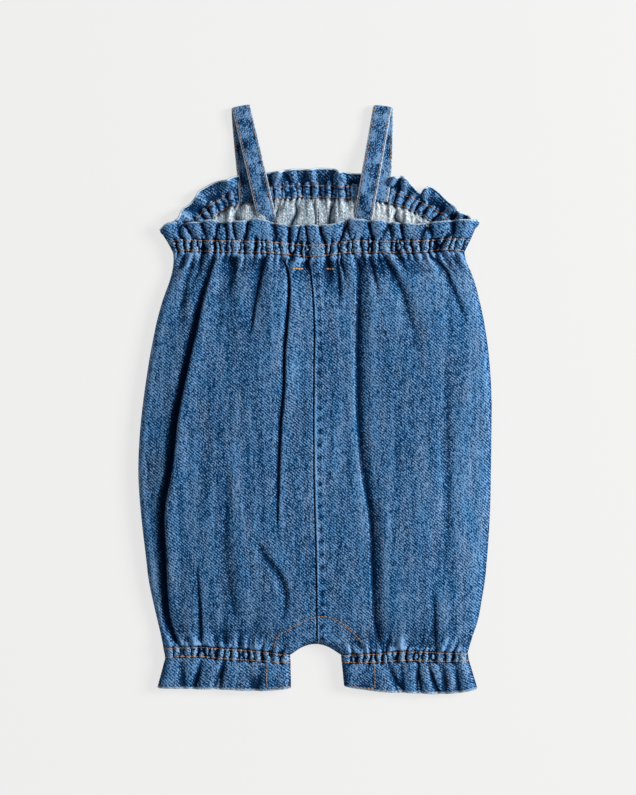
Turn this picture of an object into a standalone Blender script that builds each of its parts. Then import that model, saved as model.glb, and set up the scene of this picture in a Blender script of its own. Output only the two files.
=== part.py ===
"""A baby's denim bubble romper, laid flat on its back with its front up.

The frame: +X is across the romper, +Y runs from the hems to the straps, +Z is up off the table, and the
origin is under the middle of the romper, on the table. Left and right are those of someone looking down
at it. The tables and sizes are in millimetres, and sheet() turns them into metres.
"""

import math
from collections import namedtuple

import bmesh
import bpy

MM = 0.001

# Thicknesses of the cloth, and the levels at which it lies
WALL = 1.2  # one layer of denim
TURNED_WALL = 1.6  # denim turned over on itself: casings, ruffles and straps
SEAM_GAP = 0.6  # between two panels that are sewn together
BAND_GAP = 0.8  # between a casing and the panel or the ruffle that is sewn to it
SEAM_LEVEL = 3.2  # height of the side, inner leg and crotch seams above the table
BAND_LEVEL = 11.4  # outer face of the front casings
GATHER_DEPTH = 0.9  # small pleats of an elastic casing, crest to trough
BACK_CREASE = 1.6  # how far a crease of the back lifts off the table

# How the cloth rolls over at a side fold: how far in from the edge, and the share of the whole rise
Roll = namedtuple("Roll", "inset share")
SIDE_ROLL = [Roll(0.0, 0.0), Roll(0.0, 0.28), Roll(1.6, 0.66), Roll(5.2, 0.9)]

# Outline of the body from the neck casing to the leg casings, and how high the front stands there
Section = namedtuple("Section", "y left right loft")
BODY = [
    Section(118, -109, 112.5, 12.0),
    Section(106, -108.5, 116, 13.0),
    Section(91, -111, 123.5, 14.5),
    Section(60, -119, 129, 16.5),
    Section(15, -128.5, 133.5, 17.5),
    Section(-31, -134.5, 134.5, 18.5),
    Section(-77, -132.3, 133, 18.5),
    Section(-123, -127.3, 131, 17.5),
    Section(-154, -124.6, 127, 16.0),
    Section(-191, -117, 117, 12.0),
]

# The neck band, a row for each station from its left corner to its right one. The casing lies between
# the lower and upper lines of stitching, and the ruffle from there to its edge. lift is how far the
# ruffle's folds stand up at its edge.
Station = namedtuple("Station", "lower_x lower_y upper_x upper_y edge_x edge_y lift")
LEFT_CORNER = Station(-109, 112, -113, 119.5, -120.5, 129.5, 0.0)
RIGHT_CORNER = Station(114, 112.5, 119, 122.5, 124.5, 136.5, 0.0)
FRONT_NECK = [
    LEFT_CORNER,
    Station(-103, 113.5, -106, 122.5, -112, 136, 1.5),
    Station(-88, 112.5, -88, 122, -89, 134.5, 3.0),
    Station(-62, 112, -62, 121.5, -62, 136, 3.5),
    Station(-40, 111.5, -40, 121.5, -41, 137.3, 3.5),
    Station(-22, 110.3, -22, 119.5, -20, 131, 3.0),
    Station(-3, 109, -3, 118.3, -3, 133.5, 3.0),
    Station(14, 110, 14, 119.5, 13, 134.5, 3.5),
    Station(30, 112, 30, 122, 30, 138.3, 3.5),
    Station(52, 112, 52, 122, 53, 136, 3.5),
    Station(79, 112, 79, 121.5, 80, 134.5, 3.0),
    Station(98, 113.7, 101, 123, 103, 138, 1.5),
    RIGHT_CORNER,
]
BACK_NECK = [
    LEFT_CORNER,
    Station(-99, 124, -106, 131, -112, 138, 1.5),
    Station(-88, 135, -95, 143.5, -101, 149, 3.0),
    Station(-74, 144, -79, 153.5, -84, 163, 3.5),
    Station(-55, 150, -57, 160.5, -59, 171, 0.6),
    Station(-30, 153, -31, 164, -32, 175, 3.0),
    Station(-2, 154, -2, 165, -2, 177, 3.5),
    Station(26, 153, 26, 164, 26, 174.5, 3.0),
    Station(50, 151, 53, 161.5, 55, 170, 0.6),
    Station(74, 144, 79, 153, 86, 162, 4.0),
    Station(90, 134.5, 97, 142, 103, 149, 3.5),
    Station(103, 125, 109, 132, 115, 141, 1.5),
    RIGHT_CORNER,
]

# The leg bands from the side seam to the inner leg: the same lines, going down to the hem
LEFT_LEG = [
    Station(-116.5, -190.5, -115, -198, -121, -220, 0.5),
    Station(-90, -189.3, -90, -197.2, -96, -220.6, 2.0),
    Station(-68, -190.6, -69, -198.8, -71, -220.8, 2.5),
    Station(-44, -192.4, -44, -200.4, -45, -222.5, 2.5),
    Station(-19, -195.6, -19.5, -201.5, -19.2, -220.5, 0.5),
]
RIGHT_LEG = [
    Station(19, -195.6, 19.5, -201, 21, -219.6, 0.5),
    Station(44, -194.6, 44, -201.4, 47, -222.2, 2.5),
    Station(70, -192.6, 70, -200.2, 74, -223.4, 2.5),
    Station(92, -193.4, 92, -200.8, 98, -224.8, 2.0),
    Station(116.5, -194.2, 117, -200, 123.3, -221, 0.5),
]

# The edge between the legs, where front and back meet
Edge = namedtuple("Edge", "x y")
CROTCH = [Edge(-19, -195.6), Edge(-10, -189.8), Edge(0, -188.4), Edge(10, -191), Edge(19, -195.6)]
LEG_SIDE = 116.5  # the side seam's distance from the middle at the leg casings
CROTCH_HALF = 19.0
CROTCH_SEAM_HALF = 18.7  # the seam itself stops short of the inner legs
CROTCH_ROLL = 9.0  # how far above that edge the front starts to roll down to it
UPRIGHT_STEP = 0.05  # how far in from that edge the cloth is after its first, upright strip

# The lines along which the panels fold, a row for each from the side to the middle. top, middle and
# bottom say where the line runs; the rises say how far it stands above the panel's general height
# (a trough is negative).
FoldLine = namedtuple("FoldLine", "top middle bottom rise_top rise_middle rise_bottom")
FRONT_LEFT_FOLDS = [
    FoldLine(-95, -121, -112, -2.4, -0.4, 0.0),
    FoldLine(-87, -114, -107, 0.2, -0.4, 0.0),
    FoldLine(-78, -107, -102, -3.0, -5.0, -2.6),
    FoldLine(-72, -101, -97, 0.4, 1.0, 0.3),
    FoldLine(-62, -85, -88, -2.2, 0.0, -2.6),
    FoldLine(-51, -72, -76, 0.3, 0.8, 0.3),
    FoldLine(-40, -58, -62, -2.6, -0.6, -2.0),
    FoldLine(-31, -42, -44, 0.4, 0.9, 0.3),
    FoldLine(-24, -27, -29, -3.0, -4.0, -1.8),
    FoldLine(-18, -19, -19, 0.2, 0.4, 0.0),
    FoldLine(-11, -10, -12, 0.0, 0.0, 0.0),
]
FRONT_RIGHT_FOLDS = [
    FoldLine(102, 120, 107, -2.0, -0.3, -1.6),
    FoldLine(93, 113, 100, 0.3, 0.4, 0.2),
    FoldLine(84, 104, 90, -2.6, -0.5, -2.6),
    FoldLine(66, 88, 79, 0.4, 0.9, 0.3),
    FoldLine(50, 74, 68, -2.6, -0.6, -1.6),
    FoldLine(39, 46, 57, 0.3, 0.9, 0.3),
    FoldLine(31, 32, 47, -3.0, -3.8, -2.6),
    FoldLine(23, 24, 36, 0.3, 0.5, 0.2),
    FoldLine(16, 18, 27, -2.4, -0.5, -0.6),
    FoldLine(10, 12, 19, 0.2, 0.3, 0.0),
    FoldLine(3, 7, 11, 0.0, 0.0, 0.0),
]
BACK_FOLDS = [
    FoldLine(-98, -119, -107, 0.0, 0.0, 0.0),
    FoldLine(-88, -108, -98, 1.0, 0.9, 1.0),
    FoldLine(-76, -92, -86, 0.0, 0.0, 0.0),
    FoldLine(-63, -74, -72, 0.0, 0.0, 0.0),
    FoldLine(-50, -56, -58, 0.0, 0.0, 0.0),
    FoldLine(-36, -36, -42, 1.0, 0.8, 1.0),
    FoldLine(-22, -20, -19, 0.0, 0.0, 0.0),
    FoldLine(-10, -9, -10, 0.0, 0.0, 0.0),
]
CENTRE = FoldLine(-4.5, -2.0, 0.0, 0.0, 0.0, 0.0)  # the middle seam, a little off the middle at the top

PANEL_ROWS = [0.0, 0.05, 0.13, 0.24, 0.36, 0.48, 0.6, 0.72, 0.83, 0.91, 0.96, 0.985, 0.996, 1.0]

NECK_GATHERS = 40
NECK_RUFFLE_FOLDS = 17
LEG_GATHERS = 11
LEG_RUFFLE_FOLDS = 5

# Each strap runs from its end on the back casing, over the shoulder fold, to its end behind the front
# casing. turn is how far its width is turned from the X axis, in degrees.
STRAP_WIDTH = 14.0
StrapPoint = namedtuple("StrapPoint", "x y z turn")
LEFT_STRAP = [
    StrapPoint(-53.2, 151.5, 4.4, 5),
    StrapPoint(-54.2, 163, 4.5, 5),
    StrapPoint(-55.4, 176, 4.5, 5),
    StrapPoint(-56.6, 188, 2.8, 5),
    StrapPoint(-57.8, 201, 1.2, 5),
    StrapPoint(-58.9, 214, 1.0, 6),
    StrapPoint(-59.2, 220.5, 1.3, 8),
    StrapPoint(-59.2, 223.4, 2.6, 10),
    StrapPoint(-58.9, 223.4, 4.2, 11),
    StrapPoint(-58.3, 220.5, 5.5, 13),
    StrapPoint(-56.2, 212, 5.4, 13),
    StrapPoint(-53.4, 200, 5.4, 13),
    StrapPoint(-50.4, 187, 6.2, 13),
    StrapPoint(-47.6, 175, 7.0, 13),
    StrapPoint(-44.6, 162, 6.8, 13),
    StrapPoint(-41.4, 148, 6.2, 13),
    StrapPoint(-38.6, 136, 6.0, 13),
    StrapPoint(-33.4, 114, 6.0, 13),
]
RIGHT_STRAP = [
    StrapPoint(46.2, 151.5, 4.4, -5),
    StrapPoint(48.0, 163, 4.5, -4),
    StrapPoint(49.2, 176, 4.5, -2),
    StrapPoint(49.9, 188, 2.8, -1),
    StrapPoint(50.3, 201, 1.2, -1),
    StrapPoint(50.4, 214, 1.0, -2),
    StrapPoint(50.3, 220.5, 1.3, -4),
    StrapPoint(50.0, 223.4, 2.6, -6),
    StrapPoint(49.6, 223.4, 4.2, -8),
    StrapPoint(48.8, 220.5, 5.5, -10),
    StrapPoint(47.3, 212, 5.4, -10),
    StrapPoint(45.2, 200, 5.4, -10),
    StrapPoint(42.9, 187, 6.2, -10),
    StrapPoint(40.8, 175, 7.0, -10),
    StrapPoint(38.5, 162, 6.8, -10),
    StrapPoint(36.0, 148, 6.2, -10),
    StrapPoint(34.0, 136, 6.0, -10),
    StrapPoint(30.6, 114, 6.0, -10),
]

DENIM = (0.055, 0.145, 0.29)
DENIM_BAND = (0.045, 0.115, 0.235)
DENIM_STRAP = (0.07, 0.165, 0.31)


# Reading the tables

Numbered = namedtuple("Numbered", "number value")


def between(rows, key, value, at):
    """The value column of a table where its key column is at, on a smooth curve through its rows."""
    rows = sorted(rows, key=lambda row: getattr(row, key))
    keys = [getattr(row, key) for row in rows]
    values = [getattr(row, value) for row in rows]
    at = min(max(at, keys[0]), keys[-1])
    k = max(i for i in range(len(rows) - 1) if keys[i] <= at)
    span = keys[k + 1] - keys[k]
    share = (at - keys[k]) / span

    def slope(i):
        low, high = max(i - 1, 0), min(i + 1, len(rows) - 1)
        return (values[high] - values[low]) / (keys[high] - keys[low])

    cube, square = share**3, share**2
    return (
        (2 * cube - 3 * square + 1) * values[k]
        + (cube - 2 * square + share) * span * slope(k)
        + (3 * square - 2 * cube) * values[k + 1]
        + (cube - square) * span * slope(k + 1)
    )


def along(stations, column, share):
    """A column of a band's stations, at a share of the way from its first station to its last."""
    numbered = [Numbered(i, getattr(row, column)) for i, row in enumerate(stations)]
    return between(numbered, "number", "value", share * (len(stations) - 1))


def through(low, middle, high, share):
    """The curve of second degree through three values at 0, a half and 1."""
    return (
        low * (1 - share) * (1 - 2 * share)
        + middle * 4 * share * (1 - share)
        + high * share * (2 * share - 1)
    )


def rolled(distance):
    """The share of the rise that the cloth has at that distance from an edge where it rolls over."""
    share = min(distance / SIDE_ROLL[-1].inset, 1.0)
    return SIDE_ROLL[-1].share * math.sqrt(1 - (1 - share) ** 2)


# Making the pieces


def denim(name, colour):
    material = bpy.data.materials.new(name)
    material.use_nodes = True
    shader = material.node_tree.nodes["Principled BSDF"]
    shader.inputs["Base Color"].default_value = (*colour, 1.0)
    shader.inputs["Roughness"].default_value = 0.9
    shader.inputs["Metallic"].default_value = 0.0
    return material


def sheet(name, columns, rows, place, wall, colour, faces_down=False, centred=False):
    """A piece of cloth: a grid of points that place(column, row) puts in space, in millimetres, on its
    outer face, and a wall that goes inwards from there."""
    grid = bmesh.new()
    bmesh.ops.create_grid(grid, x_segments=columns - 1, y_segments=rows - 1, size=0.5)
    for vert in grid.verts:
        column = round((vert.co.x + 0.5) * (columns - 1))
        row = round((vert.co.y + 0.5) * (rows - 1))
        vert.co = [value * MM for value in place(column, row)]
    if faces_down:
        bmesh.ops.reverse_faces(grid, faces=grid.faces)
    mesh = bpy.data.meshes.new(name)
    grid.to_mesh(mesh)
    grid.free()
    mesh.materials.append(denim(name, colour))
    mesh.shade_smooth()
    piece = bpy.data.objects.new(name, mesh)
    romper.objects.link(piece)
    solid = piece.modifiers.new("wall", "SOLIDIFY")
    solid.thickness = wall * MM
    solid.offset = 0.0 if centred else -1.0
    solid.use_even_offset = True
    return piece


def lower_edge(stations, x):
    """Where the lower line of a band is at x: the share of the band there is found by halving."""
    low, high = 0.0, 1.0
    for _ in range(30):
        middle = (low + high) / 2
        if along(stations, "lower_x", middle) < x:
            low = middle
        else:
            high = middle
    return along(stations, "lower_y", low)


def bottom_edge(x):
    """Where the panels end: at the leg casings, and at the crotch between them."""
    if abs(x) < CROTCH_HALF:
        return between(CROTCH, "x", "y", x) + SEAM_GAP
    return lower_edge(LEFT_LEG if x < 0 else RIGHT_LEG, x) + BAND_GAP


def make_panel(name, side, folds, neck, front):
    """Half of the front or of the back, from the side seam to the middle seam and from the neck casing
    to the leg casing. side is -1 on the left and 1 on the right."""
    rolls = len(SIDE_ROLL)
    columns = rolls + len(folds) + 1
    middle = CENTRE._replace(
        top=CENTRE.top + side * SEAM_GAP / 2,
        middle=CENTRE.middle + side * SEAM_GAP / 2,
        bottom=CENTRE.bottom + side * SEAM_GAP / 2,
    )
    corner = LEFT_CORNER if side < 0 else RIGHT_CORNER

    def place(column, row):
        share = PANEL_ROWS[row]
        if column < rolls:
            line = None
            top_x = corner.lower_x - side * SIDE_ROLL[column].inset
            bottom_x = side * (LEG_SIDE - SIDE_ROLL[column].inset)
        else:
            line = (folds + [middle])[column - rolls]
            top_x, bottom_x = line.top, line.bottom
        y_top = lower_edge(neck, top_x) - BAND_GAP
        y = y_top + (bottom_edge(bottom_x) - y_top) * share
        edge = between(BODY, "y", "left" if side < 0 else "right", y)
        if not front and y > corner.lower_y:
            edge = corner.lower_x
        loft = between(BODY, "y", "loft", y)
        if line is None:
            x = edge - side * SIDE_ROLL[column].inset
            z_share, rise = SIDE_ROLL[column].share, 0.0
        else:
            x = through(line.top, line.middle, line.bottom, share)
            inward = max(abs(x - edge) - SIDE_ROLL[-1].inset, 0.0)
            z_share = 1 - (1 - SIDE_ROLL[-1].share) * math.exp(-inward / 14)
            rise = through(line.rise_top, line.rise_middle, line.rise_bottom, share)
        # Between the legs the panel rolls over to the crotch seam, and starts upright from it
        if abs(bottom_x) < CROTCH_HALF + SIDE_ROLL[-1].inset:
            beside = max(abs(bottom_x) - CROTCH_SEAM_HALF, 0.0)
            up = y - bottom_edge(bottom_x)
            near = rolled(math.hypot(up * SIDE_ROLL[-1].inset / CROTCH_ROLL, beside))
            if row == len(PANEL_ROWS) - 2:
                y = bottom_edge(bottom_x) + UPRIGHT_STEP
                near = max(near, SIDE_ROLL[1].share)
            z_share *= near / SIDE_ROLL[-1].share
            rise *= near
        if front:
            return x, y, SEAM_LEVEL + SEAM_GAP / 2 + (loft - SEAM_LEVEL) * z_share + rise
        seam = SEAM_LEVEL - SEAM_GAP / 2
        return x, y, seam * max(1 - z_share / SIDE_ROLL[-1].share, 0.0) + BACK_CREASE * rise

    def place_from_left_hem(column, row):
        from_side = column if side < 0 else columns - 1 - column
        return place(from_side, len(PANEL_ROWS) - 1 - row)

    return sheet(name, columns, len(PANEL_ROWS), place_from_left_hem, WALL, DENIM, faces_down=not front)


def make_band(name, stations, front, ruffle, folds, colour):
    """An elastic casing, or the ruffle beyond it: a strip of small pleats along a row of stations."""
    starts, ends = ("upper", "edge") if ruffle else ("lower", "upper")
    rows = 4 if ruffle else 3
    rolls = len(SIDE_ROLL)
    pleats = 2 * folds + 1
    columns = 2 * rolls + pleats
    length = math.hypot(
        stations[-1].lower_x - stations[0].lower_x,
        stations[-1].lower_y - stations[0].lower_y,
    )
    end_share = SIDE_ROLL[-1].inset / length
    downwards = stations[0].edge_y < stations[0].lower_y

    def place(column, row):
        from_end = min(column, columns - 1 - column)
        if from_end < rolls:
            share = SIDE_ROLL[from_end].inset / length
            height, pleat = SIDE_ROLL[from_end].share, 0.0
        else:
            share = end_share + (column - rolls + 0.5) / pleats * (1 - 2 * end_share)
            height, pleat = 1.0, (column - rolls) % 2
        if column > columns / 2 and from_end < rolls:
            share = 1 - share
        start_x, start_y = along(stations, starts + "_x", share), along(stations, starts + "_y", share)
        end_x, end_y = along(stations, ends + "_x", share), along(stations, ends + "_y", share)
        across = row / (rows - 1)
        length_here = math.hypot(end_x - start_x, end_y - start_y)
        if ruffle:
            across = (across * (length_here - BAND_GAP) + BAND_GAP) / length_here
        x = start_x + (end_x - start_x) * across
        y = start_y + (end_y - start_y) * across
        lift = along(stations, "lift", share) * across if ruffle else 0.0
        depth = GATHER_DEPTH + lift
        if front:
            rise = (BAND_LEVEL - SEAM_LEVEL) * height + depth * pleat
            return x, y, SEAM_LEVEL + SEAM_GAP / 2 + rise
        seam = SEAM_LEVEL - SEAM_GAP / 2
        return x, y, seam * max(1 - height / SIDE_ROLL[-1].share, 0.0) + depth * pleat

    def place_from_below(column, row):
        return place(column, rows - 1 - row if downwards else row)

    return sheet(name, columns, rows, place_from_below, TURNED_WALL, colour, faces_down=not front)


def make_strap(name, path):
    """A flat strap along its path, as wide as STRAP_WIDTH and level from edge to edge."""
    offsets = [-STRAP_WIDTH / 2, 0.0, STRAP_WIDTH / 2]

    def place(column, row):
        point = path[row]
        turn = math.radians(point.turn)
        x = point.x + offsets[column] * math.cos(turn)
        y = point.y + offsets[column] * math.sin(turn)
        return x, y, point.z

    return sheet(name, len(offsets), len(path), place, TURNED_WALL, DENIM_STRAP, centred=True)


def mirrored(folds):
    return [line._replace(top=-line.top, middle=-line.middle, bottom=-line.bottom) for line in folds]


for old in list(bpy.data.objects):
    bpy.data.objects.remove(old)
romper = bpy.data.collections.new("baby_romper")
bpy.context.scene.collection.children.link(romper)

make_panel("front_panel_left", -1, FRONT_LEFT_FOLDS, FRONT_NECK, front=True)
make_panel("front_panel_right", 1, FRONT_RIGHT_FOLDS, FRONT_NECK, front=True)
make_panel("back_panel_left", -1, BACK_FOLDS, BACK_NECK, front=False)
make_panel("back_panel_right", 1, mirrored(BACK_FOLDS), BACK_NECK, front=False)

for layer, neck, is_front in (("front", FRONT_NECK, True), ("back", BACK_NECK, False)):
    make_band(f"{layer}_casing", neck, is_front, False, NECK_GATHERS, DENIM_BAND)
    make_band(f"{layer}_ruffle", neck, is_front, True, NECK_RUFFLE_FOLDS, DENIM_BAND)
    for side_name, leg in (("left", LEFT_LEG), ("right", RIGHT_LEG)):
        make_band(f"{layer}_leg_casing_{side_name}", leg, is_front, False, LEG_GATHERS, DENIM_BAND)
        make_band(f"{layer}_leg_ruffle_{side_name}", leg, is_front, True, LEG_RUFFLE_FOLDS, DENIM_BAND)

make_strap("strap_left", LEFT_STRAP)
make_strap("strap_right", RIGHT_STRAP)
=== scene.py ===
import math
from collections import namedtuple

import bpy
import numpy as np
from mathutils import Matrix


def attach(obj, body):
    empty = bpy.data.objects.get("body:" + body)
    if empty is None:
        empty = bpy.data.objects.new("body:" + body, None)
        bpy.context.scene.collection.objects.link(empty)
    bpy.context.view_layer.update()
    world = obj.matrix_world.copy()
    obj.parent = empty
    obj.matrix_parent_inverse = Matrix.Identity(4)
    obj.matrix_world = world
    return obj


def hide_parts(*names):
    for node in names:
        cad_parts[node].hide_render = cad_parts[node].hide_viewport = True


# A baby's denim bubble romper, laid flat on its back with its front up.
# Every size below is in millimetres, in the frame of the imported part; placeCloth turns them into metres.

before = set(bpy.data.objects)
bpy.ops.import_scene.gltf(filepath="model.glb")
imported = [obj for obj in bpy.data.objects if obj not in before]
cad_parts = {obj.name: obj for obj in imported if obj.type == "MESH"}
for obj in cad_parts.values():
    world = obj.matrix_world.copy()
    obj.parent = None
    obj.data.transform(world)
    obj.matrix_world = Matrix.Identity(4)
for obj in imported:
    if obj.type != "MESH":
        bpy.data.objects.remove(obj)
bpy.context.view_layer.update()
chance = np.random.default_rng(768)
print("frame loaded:", len(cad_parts), "solids")


def smoothCurve(xs, ys, at):  # a smooth curve through the points, held level past its ends
    xs, ys = np.asarray(xs, float), np.asarray(ys, float)
    order = np.argsort(xs)
    xs, ys = xs[order], ys[order]
    slopes = np.gradient(ys, xs)
    at = np.clip(at, xs[0], xs[-1])
    k = np.clip(np.searchsorted(xs, at, "right") - 1, 0, len(xs) - 2)
    span = xs[k + 1] - xs[k]
    t = (at - xs[k]) / span
    low = (2 * t**3 - 3 * t**2 + 1) * ys[k] + (t**3 - 2 * t**2 + t) * span * slopes[k]
    return low + (3 * t**2 - 2 * t**3) * ys[k + 1] + (t**3 - t**2) * span * slopes[k + 1]


def clothUv(x, y):  # millimetres of cloth, wider than as laid because the cloth is gathered
    return np.stack([x * 1.2, y + 0 * x], 2)


def rowsOf(kind, *rows):
    return [kind(*row) for row in rows]


def column(rows, name):
    return [getattr(row, name) for row in rows]


def ease(low, high, value):  # 0 below low, 1 above high, smooth between
    t = np.clip((value - low) / (high - low), 0, 1)
    return t * t * (3 - 2 * t)


def roundUp(t):  # the rise of a quarter circle, for cloth that rolls over an edge
    t = np.clip(t, 0, 1)
    return np.sqrt(1 - (1 - t) ** 2)


def blurred(values, sigma, axis):
    reach = max(1, int(3 * sigma))
    weights = np.exp(-0.5 * (np.arange(-reach, reach + 1) / sigma) ** 2)
    weights /= weights.sum()
    pad = [(0, 0), (0, 0)]
    pad[axis] = (reach, reach)
    padded = np.pad(values, pad, "edge")
    size = values.shape[axis]
    total = np.zeros_like(values)
    for k, weight in enumerate(weights):
        part = padded[k:k + size] if axis == 0 else padded[:, k:k + size]
        total += weight * part
    return total


def wander(count, smoothness, rng):  # smooth random values, about -1 to 1
    rough = rng.normal(size=count + 8)
    soft = blurred(rough[None, :], smoothness, 1)[0][4:4 + count]
    return soft / (np.abs(soft).max() + 1e-9)


Outline = namedtuple("Outline", "y left right loft")
bodyOutline = rowsOf(
    Outline,
    (118, -109.0, 116.0, 12.5),
    (106, -108.0, 118.0, 14.5),
    (98, -109.0, 121.2, 15.8),
    (91, -110.9, 123.6, 16.6),
    (75, -116.6, 127.2, 17.6),
    (60, -120.8, 129.8, 18.2),
    (45, -124.0, 131.6, 18.6),
    (30, -126.9, 133.0, 19.0),
    (14, -129.4, 134.2, 19.3),
    (-1, -131.6, 134.8, 19.6),
    (-31, -134.7, 134.6, 20.0),
    (-60, -135.6, 134.2, 20.0),
    (-77, -134.6, 133.9, 20.0),
    (-92, -133.2, 133.3, 19.8),
    (-123, -129.6, 131.2, 19.0),
    (-138, -127.9, 129.8, 18.4),
    (-153, -125.4, 127.6, 17.6),
    (-169, -122.4, 125.0, 16.2),
    (-184, -119.4, 120.4, 14.2),
    (-196, -117.4, 117.0, 12.0),
)

# A band of elastic casing and ruffle: its lower line, its upper line and its free edge
Station = namedtuple("Station", "lowerX lowerY upperX upperY edgeX edgeY")
leftCorner = Station(-109, 112, -113, 119.5, -119.3, 129.2)
rightCorner = Station(114, 112.5, 119, 122.5, 124.8, 136.5)
frontNeck = rowsOf(
    Station,
    leftCorner,
    (-103, 113.2, -106, 122.0, -112, 134.5),
    (-88, 112.5, -88, 121.7, -90, 136.0),
    (-62, 112.0, -62, 121.2, -62, 135.8),
    (-40, 111.5, -40, 120.8, -41, 137.3),
    (-22, 110.0, -22, 119.4, -20, 132.0),
    (-3, 108.4, -3, 117.9, -3, 132.6),
    (14, 110.0, 14, 119.4, 13, 134.0),
    (30, 111.6, 30, 121.2, 30, 137.6),
    (52, 111.6, 52, 121.0, 53, 135.4),
    (79, 111.8, 79, 121.4, 80, 133.8),
    (98, 113.7, 101, 122.6, 103, 136.5),
    rightCorner,
)
backNeck = rowsOf(
    Station,
    leftCorner,
    (-97, 122, -102, 128.0, -110, 135.5),
    (-86, 131.5, -91, 138.0, -98, 146.0),
    (-74, 142.5, -78, 150.5, -84, 162.5),
    (-55, 150, -57, 159.8, -60, 171.0),
    (-30, 153, -31, 163.0, -32, 174.5),
    (-2, 154, -2, 164.0, -2, 176.5),
    (26, 153, 26, 163.0, 26, 174.0),
    (48, 151.4, 50.5, 161.2, 52, 170.2),
    (61, 148.4, 64.0, 157.8, 67.2, 170.8),
    (71, 145.2, 75.5, 153.6, 79.6, 157.6),
    (79, 141.4, 84.5, 149.6, 88.4, 163.2),
    (92, 133.2, 98.5, 140.8, 105, 148.6),
    (103, 125, 109, 132.0, 115, 142.0),
    rightCorner,
)
leftLeg = rowsOf(
    Station,
    (-116.5, -190.5, -115.0, -198.0, -121.0, -220.5),
    (-104, -189.6, -103.5, -197.2, -108, -221.0),
    (-90, -189.3, -90.0, -197.2, -94, -221.3),
    (-68, -190.6, -69.0, -198.8, -71, -221.6),
    (-44, -192.4, -44.0, -200.4, -45, -222.8),
    (-19, -195.6, -18.6, -202.0, -18.4, -221.0),
)
rightLeg = rowsOf(
    Station,
    (19, -195.6, 19.6, -201.6, 21.6, -219.5),
    (44, -194.6, 44.0, -201.4, 47, -223.0),
    (70, -192.6, 70.0, -200.2, 74, -224.4),
    (92, -193.4, 92.0, -200.8, 97, -225.0),
    (106, -194.0, 106.5, -200.8, 112, -224.0),
    (116.5, -194.2, 117.5, -200.0, 124.0, -221.5),
)
Edge = namedtuple("Edge", "x y")
crotchEdge = rowsOf(Edge, (-19, -195.6), (-10, -189.9), (0, -187.6), (10, -190.0), (19, -195.6))
centreSeam = rowsOf(Edge, (-3.4, 112), (-2.1, 86), (-0.9, 52), (-1.3, 15), (-1.1, -62), (0.4, -123),
                    (1.1, -188))

levels = {
    "seam": 3.1,  # height of the side, crotch and inner leg seams
    "band": 11.2,  # upper face of the front's casings
    "rollWidth": 6.5,  # plan width of the cloth's roll at a side fold
    "rollShare": 0.036,  # share of the columns in that roll
    "legHalfGap": 19.0,  # from the middle to an inner leg seam
    "backSeam": 3.0,  # height of the back's edges, just under the front's
    "panelWall": 0.9,
    "bandWall": 1.5,
}
grid = {"columns": 500, "panelRows": 136, "casingRows": 16, "ruffleRows": 26}


def bottomLine(x):
    legs = np.where(x < 0,
                    smoothCurve(column(leftLeg, "lowerX"), column(leftLeg, "lowerY"), x),
                    smoothCurve(column(rightLeg, "lowerX"), column(rightLeg, "lowerY"), x))
    crotch = smoothCurve(column(crotchEdge, "x"), column(crotchEdge, "y"), x)
    return np.where(np.abs(x) < levels["legHalfGap"], crotch, legs)


def lineByLength(stations, share):  # points along a band's lower line, at shares of its length
    steps = np.linspace(0, 1, 400)
    numbers = np.linspace(0, 1, len(stations))
    xs = smoothCurve(numbers, column(stations, "lowerX"), steps)
    ys = smoothCurve(numbers, column(stations, "lowerY"), steps)
    length = np.concatenate([[0], np.cumsum(np.hypot(np.diff(xs), np.diff(ys)))])
    at = np.interp(share * length[-1], length, steps)
    return at, np.interp(at, steps, xs), np.interp(at, steps, ys), length[-1]


def acrossShare(p, width):  # how far across the plan a column lies, with the rolls at both sides
    roll = levels["rollShare"]
    nearest = np.minimum(p, 1 - p)
    inset = levels["rollWidth"] * (1 - np.cos(np.clip(nearest / roll, 0, 1) * math.pi / 2))
    inner = levels["rollWidth"] + (nearest - roll) / (0.5 - roll) * (width / 2 - levels["rollWidth"])
    plan = np.where(nearest < roll, inset, inner) / width
    return np.where(p < 0.5, plan, 1 - plan)


def rollRise(p):  # the height share of a column in the side rolls
    nearest = np.minimum(p, 1 - p)
    return np.sin(np.clip(nearest / levels["rollShare"], 0, 1) * math.pi / 2)


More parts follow.
